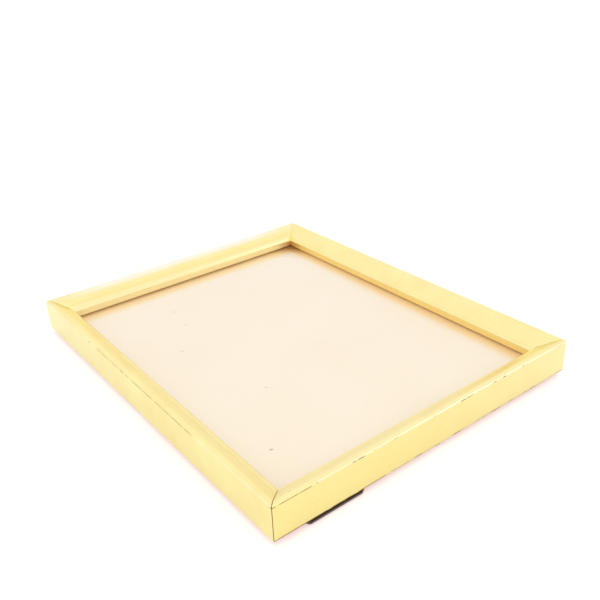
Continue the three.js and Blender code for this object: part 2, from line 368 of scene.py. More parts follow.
def painted(piece: Piece, *materials: bpy.types.Material) -> None:
    """Gives a piece its materials in place of any it has."""
    piece.data.materials.clear()
    for material in materials:
        piece.data.materials.append(material)


def redressed(node: str, material: bpy.types.Material) -> None:
    """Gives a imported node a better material."""
    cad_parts[node].material_slots[0].material = material
    LOG.info("%s: dressed in %s", node, material.name)


def hand_over(piece: Piece, body: str, slot: Slot, *nodes: str) -> None:
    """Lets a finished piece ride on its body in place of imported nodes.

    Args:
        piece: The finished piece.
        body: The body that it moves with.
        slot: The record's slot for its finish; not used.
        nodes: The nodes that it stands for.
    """
    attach(piece, body)
    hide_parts(*nodes)
    LOG.info("%s: %d faces on %s", piece.name, len(piece.data.polygons), body)


def arc(centre: Flat, radius: float, start: float, end: float, steps: int) -> list[Flat]:
    """Points along an arc, both ends included.

    Args:
        centre: The arc's centre.
        radius: Its radius.
        start: The angle of its first point, in radians.
        end: The angle of its last point.
        steps: Facets along it.

    Returns:
        The points in order.
    """
    angles = [start + (end - start) * i / steps for i in range(steps + 1)]
    return [(centre[0] + radius * math.cos(a), centre[1] + radius * math.sin(a)) for a in angles]


# Finishes.


def linear(colour: str) -> tuple[float, float, float, float]:
    """Turns an sRGB hex colour into a linear one.

    Args:
        colour: The colour, such as "#FBE3A0".

    Returns:
        Linear red, green, blue and an alpha of 1.
    """
    shares = [int(colour[i : i + 2], 16) / 255 for i in (1, 3, 5)]
    red, green, blue = (s / 12.92 if s <= 0.04045 else ((s + 0.055) / 1.055) ** 2.4 for s in shares)
    return red, green, blue, 1.0


def add_node(
    tree: bpy.types.NodeTree, kind: str, inputs: dict | None = None, **settings: object
) -> bpy.types.NodeOutputs:
    """Adds a node with its settings, values and links.

    Args:
        tree: The tree that it goes into.
        kind: The node's type, without the words that every shader node starts with.
        inputs: A value or an output socket for each of its inputs.
        settings: The node's own properties.

    Returns:
        The node's output sockets.
    """
    node = tree.nodes.new("ShaderNode" + kind)
    for name, value in settings.items():
        setattr(node, name, value)
    for name, value in (inputs or {}).items():
        if isinstance(value, Socket):
            tree.links.new(value, node.inputs[name])
        else:
            node.inputs[name].default_value = value
    return node.outputs


def bare_tree(block: bpy.types.Material | bpy.types.World) -> bpy.types.NodeTree:
    """Empties a material's or the world's node tree, and gives it back."""
    block.use_nodes = True
    block.node_tree.nodes.clear()
    return block.node_tree


def places(tree: bpy.types.NodeTree, side: Side = Side.BOTTOM) -> Socket:
    """Gives the places on a piece in millimetres, with X along one side of the frame.

    Args:
        tree: The material's tree.
        side: The side that X runs along.

    Returns:
        The places.
    """
    here = add_node(tree, "TexCoord")["Object"]
    turned = {"Vector": here, "Rotation": (0, 0, -side.value * QUARTER), "Scale": (1 / MM,) * 3}
    return add_node(tree, "Mapping", turned)[0]


@dataclass(frozen=True)
class Grained:
    """A finish whose colour, shine and relief all follow one grain.

    The grain's size along and across it and its relief are in millimetres. Its first colour
    turns into its second over the share, and its shine is the roughness at both ends.
    """

    name: str
    pale: str
    dark: str
    along: float
    across: float
    share: Flat
    shine: Flat
    relief: float
    detail: float = 5.0
    swirl: float = 0.0
    metal: float = 0.0
    bump: float = 0.4

    def build(self, side: Side = Side.BOTTOM) -> bpy.types.Material:
        """Makes the finish, its grain along one side of the frame.

        Args:
            side: The side that the grain runs along.

        Returns:
            The material.
        """
        material = bpy.data.materials.new(self.name)
        tree = bare_tree(material)
        stretch = (1 / self.along, 1 / self.across, 1 / self.across)
        drawn = add_node(tree, "Mapping", {"Vector": places(tree, side), "Scale": stretch})[0]
        noise = {"Vector": drawn, "Scale": 1.0, "Detail": self.detail, "Distortion": self.swirl}
        grain = add_node(tree, "TexNoise", noise)[0]
        share, rough = (
            add_node(tree, "MapRange", dict(zip(RAMP, ramp)))[0]
            for ramp in ((grain, *self.share), (grain, 0.0, 1.0, *self.shine))
        )
        tones = {0: share, 6: linear(self.pale), 7: linear(self.dark)}
        height = {"Strength": self.bump, "Distance": self.relief * MM, "Height": grain}
        look = {
            "Base Color": add_node(tree, "Mix", tones, data_type="RGBA")[2],
            "Metallic": self.metal,
            "Roughness": rough,
            "Normal": add_node(tree, "Bump", height)[0],
        }
        add_node(tree, "OutputMaterial", {"Surface": add_node(tree, "BsdfPrincipled", look)[0]})
        return material


# Planed softwood at the back and in the rebate: pale, with darker grain along the rail.
BARE_WOOD = Grained(
    name="planed_softwood",
    pale="#D9BC92",
    dark="#B08A5C",
    along=45.0,
    across=0.9,
    share=(0.35, 0.68),
    shine=(0.62, 0.8),
    relief=0.05,
    swirl=0.6,
)
# Zinc plate on pressed steel: a grey metal with a cloudy satin shine.
STEEL = Grained(
    name="zinc_plated_steel",
    pale="#D3D5D6",
    dark="#B4B6B5",
    along=3.0,
    across=3.0,
    share=(0.35, 0.65),
    shine=(0.24, 0.44),
    relief=0.01,
    metal=1.0,
).build()
# Kraft paper, as rolled: matt brown, flecked with darker fibres.
KRAFT_PAPER = Grained(
    name="kraft_paper",
    pale="#B58E60",
    dark="#8F6B43",
    along=1.1,
    across=1.1,
    share=(0.4, 0.75),
    shine=(0.82, 0.95),
    relief=0.04,
    swirl=2.0,
)
# Stained hardboard: nearly black, with short tangled fibres and a dull shine.
BOARD_FACE = Grained(
    name="stained_hardboard",
    pale="#2A221D",
    dark="#41352C",
    along=1.6,
    across=1.6,
    share=(0.35, 0.7),
    shine=(0.55, 0.8),
    relief=0.06,
    detail=6.0,
    swirl=2.5,
)
# The same board where it is sawn: greyer brown, rough and even.
BOARD_EDGE = Grained(
    name="sawn_hardboard",
    pale="#54463B",
    dark="#75655A",
    along=0.8,
    across=0.8,
    share=(0.35, 0.7),
    shine=(0.7, 0.9),
    relief=0.08,
    detail=6.0,
    swirl=2.5,
)


@dataclass(frozen=True)
class Wear:
    """How far a rail is rubbed pale, toned or bare, from 0 to 1, on each part of its section.

    Besides wear, most of these are painted highlight, reflection and shade, set on each side
    to how the light falls there. Above the level called chips, the leaf is gone from the edge
    below the arris. That edge is scraped along one span, the outer wall is painted pale as a
    highlight along another, and along a third the lip is painted darker as shade near a corner.
    All run along the rail, from its left as it lies at the bottom.
    """

    arris: float
    ridge: float
    bead: float
    quirk: float
    lip: float
    wall: float = 0.0
    chips: float = 0.62
    scraped: Flat = (0.0, 0.0)
    base: float = 0.3
    pale: float = 0.0
    pale_run: Flat = (0.0, 1.0)
    # Where the lip is painted darker as shade near a corner.
    grime_run: Flat = (1000.0, 1001.0)


@dataclass(frozen=True)
class GiltLeaf:
    """Imitation gold leaf burnished over clay: a pale yellow satin metal.

    The leaf is a little deeper in colour in patches and the burnisher leaves fine streaks
    along the moulding. Near-white is painted on the ridge, on the bead, along stretches of the
    outer wall and most on the outer arris: partly leaf rubbed pale, partly painted highlight.
    The quirk and the bottom rail's outer wall are painted deeper as shade. The lip is painted
    amber and made less metallic as a painted reflection, and brown near the corners as painted
    shade. Brown clay shows in pits and in short dashes below the arris, and along the base,
    where it is also painted shade under the wall.
    """

    gold: str = "#FFF2AE"
    deep: str = "#FCE8A0"
    # Painted shade in the quirk and on the bottom rail's outer wall.
    toned: str = "#FFE794"
    # Painted reflection of the card and leaf on the lip, which is made less metallic.
    amber: str = "#FFDC7E"
    # Near-white, for leaf rubbed pale and for painted highlight.
    rubbed: str = "#FFFBEC"
    # Bare clay in chips and pits, and along the base, where it is also painted shade under the wall.
    clay: str = "#6E4526"
    # Painted brown shade in the lip near the corners.
    grime: str = "#C4761F"
    streak_along: float = 70.0
    streak_across: float = 0.5
    streak_share: Flat = (0.3, 0.7)
    patch: float = 20.0
    patch_share: Flat = (0.35, 0.75)
    patch_most: float = 0.8
    tooth: float = 0.6
    detail: float = 3.0
    pit_spacing: float = 15.0
    pit_r: float = 0.34
    pit_core: float = 0.6
    pit_most: float = 0.7
    rub_along: float = 7.0
    rub_across: float = 2.0
    # The outer arris band is painted near-white: partly rubbed leaf, partly painted highlight.
    rub_share: Flat = (0.3, 0.6)
    rub_least: float = 0.5
    rub_width: float = 0.4
    rub_low: float = 24.0
    rub_blur: float = 0.12
    rub_wander: float = 0.8
    dash_low: float = 23.6
    chip_blur: float = 0.05
    chip_most: float = 0.9
    scrape: float = 0.2
    # Where painted highlight lies on the ridge's crown and on the bead, and painted shade in the quirk.
    ridge_z: Flat = (22.45, 24.05)
    ridge_run: Flat = (65.0, 100.0)
    ridge_least: float = 0.2
    bead_in: Flat = (11.2, 11.9)
    quirk_in: Flat = (9.4, 10.0)
    lip_z: Flat = (16.7, 14.9)
    grime_most: float = 0.75
    base_z: Flat = (4.6, 4.35)
    base_share: Flat = (0.42, 0.62)
    base_least: float = 0.2
    satin: Flat = (0.26, 0.38)
    leaf_metal: float = 0.96
    lip_metal: float = 0.06
    bump: float = 0.3
    relief: float = 0.02

    def build(self, side: Side, across: float, wear: Wear) -> bpy.types.Material:
        """Makes the finish for one side, its streaks along that side's rail.

        Args:
            side: The side of the frame.
            across: The frame's size across that side's rail.
            wear: How far it is worn, and where highlight and shade are painted on it.

        Returns:
            The material.
        """
        material = bpy.data.materials.new(f"gold_leaf_{side.word}")
        tree = bare_tree(material)
        along = places(tree, side)
        x, y, z = add_node(tree, "SeparateXYZ", {0: along})
        noises = []
        for run, width in (
            (self.streak_along, self.streak_across),
            (self.rub_along, self.rub_across),
            (self.patch, self.patch),
            (self.tooth, self.tooth),
        ):
            stretch = {"Vector": along, "Scale": (1 / run, 1 / width, 1 / width)}
            noise = {"Vector": add_node(tree, "Mapping", stretch)[0], "Scale": 1.0, "Detail": self.detail}
            noises.append(add_node(tree, "TexNoise", noise)[0])
        streaks, rubs, patches, tooth = noises
        cells = {"Vector": places(tree), "Scale": 1 / self.pit_spacing}
        near = add_node(tree, "TexVoronoi", cells)["Distance"]
        pit = self.pit_r / self.pit_spacing
        start, end = wear.scraped
        span = {0: x, 1: (start + end) / 2, 2: (end - start) / 2}
        scraped = add_node(tree, "Math", span, operation="COMPARE")[0]
        bared = {0: scraped, 1: self.scrape, 2: rubs}
        bare = add_node(tree, "Math", bared, operation="MULTIPLY_ADD")[0]
        wander = {0: rubs, 1: -self.rub_wander, 2: z}
        uneven = add_node(tree, "Math", wander, operation="MULTIPLY_ADD")[0]
        inward = add_node(tree, "Math", {0: y, 1: across / 2}, operation="ADD")[0]
        off_middle = add_node(tree, "Math", {0: x}, operation="ABSOLUTE")[0]
        skin = (self.rub_width - self.rub_blur, self.rub_width)
        rub_low = self.rub_low - self.rub_wander / 2
        arris_edge = (rub_low, rub_low + self.rub_blur)
        ramps = {
            "deeper": (patches, *self.patch_share, 0.0, self.patch_most),
            "outside": (inward, *skin, 1.0, 0.0),
            "inside": (inward, *skin, 0.0, 1.0),
            # Painted shade on the outer wall.
            "wall": (inward, *skin, wear.wall, 0.0),
            # Painted highlight along a stretch of the outer wall.
            "pale": (x, *wear.pale_run, 0.0, wear.pale),
            # Painted highlight on the ridge's crown, most in the rail's middle.
            "ridge": (z, *self.ridge_z, 0.0, wear.ridge),
            "middle": (off_middle, *self.ridge_run, 1.0, self.ridge_least),
            # Painted shade in the quirk.
            "quirk": (inward, *self.quirk_in, 0.0, wear.quirk),
            # Painted highlight on the bead.
            "bead": (inward, *self.bead_in, 0.0, wear.bead),
            # The lip is painted amber as a reflection, with less metal.
            "lip": (z, *self.lip_z, 0.0, 1.0),
            "lip_reflection": (z, *self.lip_z, 0.0, wear.lip),
            "dulled": (z, *self.lip_z, 0.0, self.lip_metal - self.leaf_metal),
            # Painted shade in the lip near the corner nooks.
            "nook": (x, *wear.grime_run, 0.0, self.grime_most),
            # The arris band: painted near-white, partly rubbed leaf and partly painted highlight.
            "rubbed": (uneven, *arris_edge, 0.0, 1.0),
            "below_arris": (uneven, *arris_edge, 1.0, 0.0),
            "worn_and_lit": (rubs, *self.rub_share, wear.arris, self.rub_least * wear.arris),
            "unscraped": (scraped, 0.0, 1.0, 1.0, 0.0),
            "upper": (z, self.dash_low, self.dash_low + self.rub_blur, 0.0, 1.0),
            "chips": (bare, wear.chips, wear.chips + self.chip_blur, 0.0, self.chip_most),
            "pits": (near, self.pit_core * pit, pit, self.pit_most, 0.0),
            # Clay along the base, also painted shade under the wall, strongest on the bottom side.
            "base": (z, *self.base_z, 0.0, wear.base),
            "broken": (bare, *self.base_share, self.base_least, 1.0),
            "shine": (streaks, *self.streak_share, *self.satin),
        }
        masks = {
            name: add_node(tree, "MapRange", dict(zip(RAMP, ramp)))[0] for name, ramp in ramps.items()
        }
        leaf: Socket | tuple[float, ...] = linear(self.gold)
        # Tones laid in order: the wall, ridge, quirk, bead, lip, nook and base tones hold painted shade,
        # highlight and reflection, the arris tone partly so.
        for tone, *names in (
            (self.deep, "deeper"),
            (self.toned, "wall"),
            (self.rubbed, "outside", "pale"),
            (self.rubbed, "ridge", "middle"),
            (self.toned, "quirk"),
            (self.rubbed, "bead"),
            (self.amber, "inside", "lip_reflection"),
            (self.grime, "inside", "lip", "nook"),
            (self.rubbed, "outside", "rubbed", "worn_and_lit", "unscraped"),
            (self.clay, "outside", "upper", "below_arris", "chips"),
            (self.clay, "pits"),
            (self.clay, "base", "broken"),
        ):
            share, *others = (masks[name] for name in names)
            for other in others:
                share = add_node(tree, "Math", {0: share, 1: other}, operation="MULTIPLY")[0]
            leaf = add_node(tree, "Mix", {0: share, 6: leaf, 7: linear(tone)}, data_type="RGBA")[2]
        # The lip is less metallic, so that its painted amber reflection shows.
        lip_metal_mix = {0: masks["inside"], 1: masks["dulled"], 2: self.leaf_metal}
        height = add_node(tree, "Math", {0: streaks, 1: tooth}, operation="ADD")[0]
        relief = {"Strength": self.bump, "Distance": self.relief * MM, "Height": height}
        look = {
            "Base Color": leaf,
            "Metallic": add_node(tree, "Math", lip_metal_mix, operation="MULTIPLY_ADD")[0],
            "Roughness": masks["shine"],
            "Normal": add_node(tree, "Bump", relief)[0],
        }
        add_node(tree, "OutputMaterial", {"Surface": add_node(tree, "BsdfPrincipled", look)[0]})
        return material


@dataclass(frozen=True)
class PictureGlass:
    """Clear float glass, polished, with the faint smears of a hand wipe in its shine."""

    tint: str = "#FBFDFC"
    smear: float = 35.0
    smear_share: Flat = (0.4, 0.8)
    detail: float = 3.0
    swirl: float = 1.2
    shine: Flat = (0.0, 0.03)
    ior: float = 1.52

    def build(self) -> bpy.types.Material:
        """Makes the glass, which lets light through to what is behind it.

        Returns:
            The material.
        """
        material = bpy.data.materials.new("float_glass")
        tree = bare_tree(material)
        wiped = {"Scale": 1 / self.smear, "Detail": self.detail, "Distortion": self.swirl}
        smears = add_node(tree, "TexNoise", {"Vector": places(tree), **wiped})[0]
        spread = (smears, *self.smear_share, *self.shine)
        look = {
            "Base Color": linear(self.tint),
            "Roughness": add_node(tree, "MapRange", dict(zip(RAMP, spread)))[0],
            "IOR": self.ior,
            "Transmission Weight": 1.0,
        }
        shown = add_node(tree, "BsdfPrincipled", look)[0]
        clear = add_node(tree, "BsdfTransparent")[0]
        path = add_node(tree, "LightPath")
        for ray in ("Is Diffuse Ray", "Is Shadow Ray"):
            shown = add_node(tree, "MixShader", {0: path[ray], 1: shown, 2: clear})[0]
        add_node(tree, "OutputMaterial", {"Surface": shown})
        return material


@dataclass(frozen=True)
class Speck:
    """A fleck of lint: its place, its length and width, its turn in degrees and its depth of tone."""

    x: float
    y: float
    length: float
    width: float
    turn: float
    tone: float


@dataclass(frozen=True)
class CreamCard:
    """Uncoated cream card: matt, faintly clouded, with short fibres and a few flecks of lint.

    Along its top and right margins, close to the lip, it is painted warmer and deeper as shade
    and as the gold's reflection, and painted brown as shade under the top rail, most in the
    nook at its right end.
    """

    cream: str = "#FEEED8"
    warm: str = "#FCE8CE"
    # Painted shade and gold reflection along the top and right margins.
    margin: str = "#FFD69E"
    # Painted amber shade and reflection around the top right nook.
    stain: str = "#E3A21C"
    # Painted brown shade under the top rail and in the nook.
    grime: str = "#A8692C"
    lint: str = "#A08A72"
    cloud: float = 60.0
    cloud_detail: float = 3.0
    fibre: float = 0.7
    fibre_detail: float = 4.0
    swirl: float = 1.5
    warm_share: Flat = (0.12, 0.42)
    shine: Flat = (0.8, 0.95)
    bump: float = 0.3
    relief: float = 0.02
    sight_w: float = 190.5
    sight_h: float = 241.3
    margin_w: Flat = (1.0, 14.0)
    grime_w: Flat = (0.5, 4.0)
    grime_most: float = 0.4
    stain_w: Flat = (10.0, 38.0)
    stain_most: float = 0.5
    nook_w: Flat = (7.0, 24.0)
    nook_most: float = 0.85
    speck_fade: Flat = (0.3, 1.0)
    specks: tuple[Speck, ...] = (
        Speck(x=-76.5, y=-88.0, length=3.0, width=1.9, turn=-32.0, tone=0.75),
        Speck(x=-61.4, y=30.9, length=3.8, width=1.9, turn=-35.0, tone=0.5),
        Speck(x=-44.8, y=-39.1, length=3.6, width=1.8, turn=-38.0, tone=0.4),
        Speck(x=-41.7, y=59.7, length=4.6, width=2.0, turn=-38.0, tone=0.35),
        Speck(x=-38.4, y=82.4, length=4.6, width=2.2, turn=-40.0, tone=0.35),
    )

    def build(self) -> bpy.types.Material:
        """Makes the card.

        Returns:
            The material.
        """
        material = bpy.data.materials.new("uncoated_cream_card")
        tree = bare_tree(material)
        place = places(tree)
        clouding = {"Scale": 1 / self.cloud, "Detail": self.cloud_detail}
        matting = {"Scale": 1 / self.fibre, "Detail": self.fibre_detail, "Distortion": self.swirl}
        clouds, fibres = (
            add_node(tree, "TexNoise", {"Vector": place, **noise})[0] for noise in (clouding, matting)
        )
        blend = add_node(tree, "Math", {0: clouds, 1: fibres}, operation="MULTIPLY")[0]
        axes = add_node(tree, "SeparateXYZ", {0: place})
        right, top = (
            add_node(tree, "Math", {0: size / 2, 1: axes[axis]}, operation="SUBTRACT")[0]
            for axis, size in (("X", self.sight_w), ("Y", self.sight_h))
        )
        rim, nook = (
            add_node(tree, "Math", {0: right, 1: top}, operation=how)[0] for how in ("MINIMUM", "ADD")
        )
        shades = [
            (self.warm, "LINEAR", blend, *self.warm_share),
            # Painted shade and gold reflection along the top and right margins.
            (self.margin, "SMOOTHSTEP", rim, *self.margin_w, 1.0, 0.0),
            # Painted brown shade under the top rail, and painted amber and brown shade in the top right
            # nook.
            (self.grime, "LINEAR", top, *self.grime_w, self.grime_most, 0.0),
            (self.stain, "LINEAR", nook, *self.stain_w, self.stain_most, 0.0),
            (self.grime, "LINEAR", nook, *self.nook_w, self.nook_most, 0.0),
        ]
        for speck in self.specks:
            # The card is flat, so the fleck's own height is as good as endless.
            fleck = {
                "Vector": place,
                "Location": (speck.x, speck.y, 0),
                "Rotation": (0, 0, math.radians(speck.turn)),
                "Scale": (speck.length / 2, speck.width / 2, 1 / MM),
            }
            inside = add_node(tree, "Mapping", fleck, vector_type="TEXTURE")[0]
            far = add_node(tree, "VectorMath", {0: inside}, operation="LENGTH")["Value"]
            shades.append((self.lint, "LINEAR", far, *self.speck_fade, speck.tone, 0.0))
        colour: Socket | tuple[float, ...] = linear(self.cream)
        for tone, fade, *ramp in shades:
            share = add_node(tree, "MapRange", dict(zip(RAMP, ramp)), interpolation_type=fade)[0]
            colour = add_node(tree, "Mix", {0: share, 6: colour, 7: linear(tone)}, data_type="RGBA")[2]
        matt = dict(zip(RAMP, (fibres, 0.0, 1.0, *self.shine)))
        height = {"Strength": self.bump, "Distance": self.relief * MM, "Height": fibres}
        look = {
            "Base Color": colour,
            "Roughness": add_node(tree, "MapRange", matt)[0],
            "Normal": add_node(tree, "Bump", height)[0],
        }
        add_node(tree, "OutputMaterial", {"Surface": add_node(tree, "BsdfPrincipled", look)[0]})
        return material


# Sub-assemblies.


@dataclass
class Moulding:
    """The section of the rails: in from the outer wall, and up from the back."""

    width: float = 14.6
    height: float = 21.8
    slope: float = 29.5
    ridge_r: float = 2.34
    arris_r: float = 0.4
    arris_turn: float = 140.0
    bead_w: float = 3.7
    bead_crown: float = 0.32
    bead_drop: float = 2.8
    nose_w: float = 0.96
    nose_r: float = 1.6
    quirk_w: float = 1.3
    quirk_depth: float = 0.22
    wall: float = 7.45
    rebate: float = 8.8
    back_ease: float = 0.6
    lip_ease: float = 0.35
    arc_steps: int = 12
    small_steps: int = 6

    def outline(self) -> list[Flat]:
        """Draws the section, anticlockwise from the back's outer edge.

        Returns:
            Points as distance in and height.
        """
        slope, turn = math.radians(self.slope), math.radians(self.arris_turn)
        ridge = (self.arris_r + (self.arris_r - self.ridge_r) * math.cos(turn), self.height - self.ridge_r)
        corner = arc(ridge, self.ridge_r - self.arris_r, turn, turn, 1)[0]
        ridge_arc = arc(ridge, self.ridge_r, QUARTER - slope, turn, self.arc_steps)
        top = ridge_arc[0]

        def face(y: float) -> float:
            """The height of the sloping face."""
            return top[1] - (y - top[0]) * math.tan(slope)

        quirk = self.width - self.bead_w
        crest = Vector((quirk, face(quirk)))
        foot = Vector((self.width - self.nose_w, crest.y - self.bead_drop))
        half = (crest - foot) / 2
        bead_r = (half.length_squared + self.bead_crown**2) / (2 * self.bead_crown)
        sunk = Vector((-half.y, half.x)).normalized() * (bead_r - self.bead_crown)
        centre = foot + half + sunk
        low, high = (math.atan2(p.y - centre.y, p.x - centre.x) for p in (foot, crest))
        nose_turn = math.acos(1 - self.nose_w / self.nose_r)
        nose = (self.width - self.nose_r, foot.y - self.nose_r * math.sin(nose_turn))
        hollow = []
        for i in range(1, self.small_steps):
            share = i / self.small_steps
            y = quirk - self.quirk_w * share
            hollow.append((y, face(y) - self.quirk_depth * math.sin(math.pi * share) ** 2))
        return [
            (self.back_ease, 0),
            (self.wall, 0),
            (self.wall, self.rebate),
            (self.width - self.lip_ease, self.rebate),
            (self.width, self.rebate + self.lip_ease),
            *arc(nose, self.nose_r, 0, nose_turn, self.arc_steps),
            *arc((centre.x, centre.y), bead_r, low, high, self.arc_steps)[1:],
            *hollow,
            (quirk - self.quirk_w, face(quirk - self.quirk_w)),
            *ridge_arc,
            *arc(corner, self.arris_r, turn, math.pi, self.small_steps)[1:],
            (0, self.back_ease),
        ]


@dataclass
class GiltRim:
    """The four mitred rails, slotted for their nails and drilled for their screws.

    Each rail's two mitre gaps are at its left and right end as it lies at the bottom.
    """

    open_gap: float = 0.3
    fine_gap: float = 0.12
    tight_gap: float = 0.03
    ease_share: float = 0.4
    end: float = 20.0
    end_facing: float = 0.6
    end_area: float = 1.0
    cuts: int = 47
    nail_w: float = 6.4
    nail_rise: float = 1.2
    nail_t: float = 0.6
    nail_depth: float = 7.3
    nail_play: float = 0.1
    pilot_r: float = 1.3
    pilot_depth: float = 10.1
    dent: float = 0.1
    dent_size: float = 22.0
    dent_rise: float = 1.0
    moulding: Moulding = field(default_factory=Moulding)
    # Each side's wear, and the highlight, reflection and shade painted on it to suit how the light falls
    # there.
    wear: dict[Side, Wear] = field(
        default_factory=lambda: {
            Side.BOTTOM: Wear(
                arris=0.9,
                ridge=0.12,
                bead=0.1,
                quirk=0.1,
                lip=0.5,
                wall=0.45,
                chips=0.59,
                scraped=(-110.0, -83.0),
                base=0.85,
                pale=0.14,
                pale_run=(-40.0, 110.0),
            ),
            Side.RIGHT: Wear(
                arris=0.5,
                ridge=0.06,
                bead=0.0,
                quirk=0.0,
                lip=0.84,
                grime_run=(104.0, 121.0),
            ),
            Side.TOP: Wear(
                arris=0.5,
                ridge=0.85,
                bead=0.2,
                quirk=0.5,
                lip=0.15,
                grime_run=(-82.0, -95.0),
            ),
            Side.LEFT: Wear(
                arris=0.6,
                ridge=0.0,
                bead=0.1,
                quirk=0.1,
                lip=0.5,
                chips=0.6,
                scraped=(-52.0, 66.0),
                base=0.0,
                pale=0.16,
                pale_run=(20.0, -135.0),
            ),
        }
    )

    def build(self) -> None:
        """Models a short and a long rail, copies each, and mitres and dresses all four."""
        gaps = {
            Side.BOTTOM: (self.open_gap, self.fine_gap),
            Side.RIGHT: (self.fine_gap, self.tight_gap),
            Side.TOP: (self.tight_gap, self.tight_gap),
            Side.LEFT: (self.tight_gap, self.open_gap),
        }
        for long_way, across, sides in RUNS:
            model = self.length_of_moulding(long_way, across)
            for side in sides:
                rail = quarter_turned(model, f"gilt_rail_{side.word}", 0)
                for way, gap in zip((-1, 1), gaps[side]):
                    self.mitre(rail, way, long_way, across, gap)
                cleaned(rail)
                self.press_dents(rail, side, long_way)
                self.dress(rail, side, across)
                rail.rotation_euler.z = side.value * QUARTER
                single_out(rail)
                settled(rail.name)
                hand_over(rail, "frame", Slot.GILT, f"{side.word}_rail")
            bpy.data.objects.remove(model)
        for node in (f"corner_nail_{v}_{h}" for v in ("bottom", "top") for h in ("left", "right")):
            redressed(node, STEEL)

    def length_of_moulding(self, long_way: float, across: float) -> Piece:
        """Draws the section out along the bottom, square at both ends, and drills its pilot hole.

        Args:
            long_way: The rail's length.
            across: The frame's size across the rail.

        Returns:
            The rail before it is mitred.
        """
        middle = long_way - 2 * self.end
        outer = -across / 2
        outline = [at(-middle / 2, outer + y, BACK_Z + z) for y, z in self.moulding.outline()]
        rail = slab("rail_model", outline, at(middle, 0, 0))
        with opened(rail, Pick.EDGE):
            choose(rail, Pick.EDGE, lambda edge: abs(edge.verts[0].co.x - edge.verts[1].co.x) > WELD)
            bpy.ops.mesh.subdivide(number_cuts=self.cuts)
        for way in (-1, 1):
            with opened(rail, Pick.FACE):
                choose(rail, Pick.FACE, lambda face: face.normal.x * way > FACING)
                drag(at(way * self.end, 0, 0))
        depth = self.pilot_depth + self.moulding.back_ease
        hole = at(0, outer + self.moulding.wall / 2, BACK_Z + self.pilot_depth - depth / 2)
        combined(rail, round_bar(self.pilot_r, depth, hole), Join.CUT)
        return rail

    def mitre(self, rail: Piece, way: int, long_way: float, across: float, gap: float) -> None:
        """Cuts one mitre, takes the sharp edge off it and cuts the slot for its nail.

        Args:
            rail: The rail, at the bottom.
            way: -1 at the rail's left end and 1 at its right.
            long_way: The rail's length.
            across: The frame's size across the rail.
            gap: The gap between the joint's two halves.
        """
        outer = -across / 2 * MM
        end = (long_way / 2 - gap / math.sqrt(2)) * MM
        plane = {"plane_co": (way * end, outer, 0), "plane_no": (way, 1, 0)}
        with opened(rail, Pick.FACE):
            bpy.ops.mesh.bisect(**plane, use_fill=True, clear_outer=True)
            face_out()

        def on_mitre(edge: bmesh.types.BMEdge) -> bool:
            """Whether an edge lies in the mitre's plane."""
            return all(abs(way * v.co.x + v.co.y - end - outer) < STRAY for v in edge.verts)

        eased(rail, gap * self.ease_share, on_mitre)
        combined(rail, self.nail_slot(way, long_way, -across / 2), Join.CUT)

    def nail_slot(self, way: int, long_way: float, outer: float) -> Piece:
        """Models the tool that cuts a V-shaped slot across a mitre.

        Args:
            way: -1 at the rail's left end and 1 at its right.
            long_way: The rail's length.
            outer: The place of the rail's outer wall.

        Returns:
            The tool.
        """
        half = self.nail_w / 2 + self.nail_play
        rise = 2 * half * self.nail_rise / self.nail_w
        low = -self.nail_play * math.hypot(1, rise / half)
        thick = self.nail_t - 2 * low
        over = -self.moulding.back_ease
        inner = [(-half, low + rise), (0, low), (half, low + rise)]
        outline = [*inner, *((x, y + thick) for x, y in reversed(inner))]
        tool = slab("nail_slot", [at(x, y, over) for x, y in outline], at(0, 0, self.nail_depth - over))
        tool.rotation_euler.z = way * QUARTER / 2
        inset = self.moulding.wall / 2
        tool.location = at(way * (long_way / 2 - inset), outer + inset, BACK_Z)
        single_out(tool)
        return settled("nail_slot")

    def press_dents(self, rail: Piece, side: Side, long_way: float) -> None:
        """Presses the slight unevenness of worked gesso into a rail's gilded faces.

        Args:
            rail: The rail, at the bottom.
            side: The side that it is for.
            long_way: Its length.
        """
        reach = (long_way / 2 - self.end) * MM
        low = (BACK_Z + self.moulding.rebate + self.dent_rise) * MM
        group = rail.vertex_groups.new(name="gilded")
        gilded = [v.index for v in rail.data.vertices if v.co.z > low and abs(v.co.x) < reach]
        group.add(gilded, 1.0, "REPLACE")
        texture = bpy.data.textures.new(f"gesso_{side.word}", "CLOUDS")
        texture.noise_scale = (self.dent_size + side.value) * MM
        press = {"mid_level": 0.0, "strength": -self.dent * MM}
        worked(rail, "DISPLACE", texture=texture, vertex_group=group.name, **press)

    def dress(self, rail: Piece, side: Side, across: float) -> None:
        """Gilds a rail's front and outer wall and leaves the rest of it bare wood.

        Args:
            rail: The rail, at the bottom.
            side: The side that it is for.
            across: The frame's size across it.
        """
        painted(rail, GiltLeaf().build(side, across, self.wear[side]), BARE_WOOD.build(side))
        rebate = (BACK_Z + self.moulding.rebate) * MM
        skin = (self.moulding.back_ease - across / 2) * MM
        for face in rail.data.polygons:
            hidden = face.center.z < rebate + WELD and face.center.y > skin
            cut_end = abs(face.normal.x) > self.end_facing and face.area > self.end_area * MM**2
            face.material_index = int(hidden or cut_end)
        smoothed(rail)


